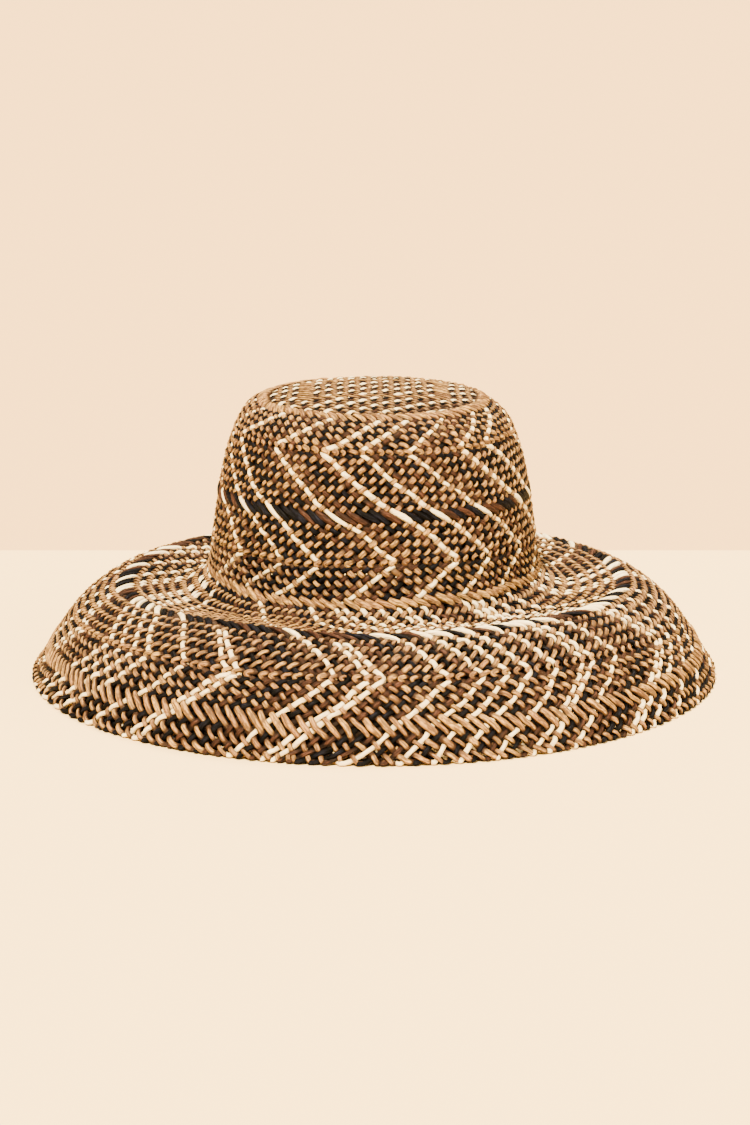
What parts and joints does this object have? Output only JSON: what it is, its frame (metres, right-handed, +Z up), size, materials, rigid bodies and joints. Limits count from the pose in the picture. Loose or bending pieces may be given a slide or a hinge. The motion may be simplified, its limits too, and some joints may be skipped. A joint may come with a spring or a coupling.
{
  "type": "sun hat",
  "caption": "Wide-brimmed straw sun hat with a round crown and a soft bell brim that rests on its edge, hollow below for the head.",
  "frame": {"origin": "middle of the oval that the brim edge stands on, at the height of the surface", "axes": "+Z up through the crown, -Y towards the front of the hat, +X towards the wearer's left"},
  "size_m": [0.368, 0.3864, 0.1524],
  "materials": {
    "tan_straw": "matte",
    "brown_straw": "matte",
    "dark_straw": "matte",
    "white_straw": "matte"
  },
  "bodies": {
    "root": {"crown_tip": "tan_straw", "crown_side": "tan_straw", "brim": "tan_straw"}
  },
  "joints": []
}
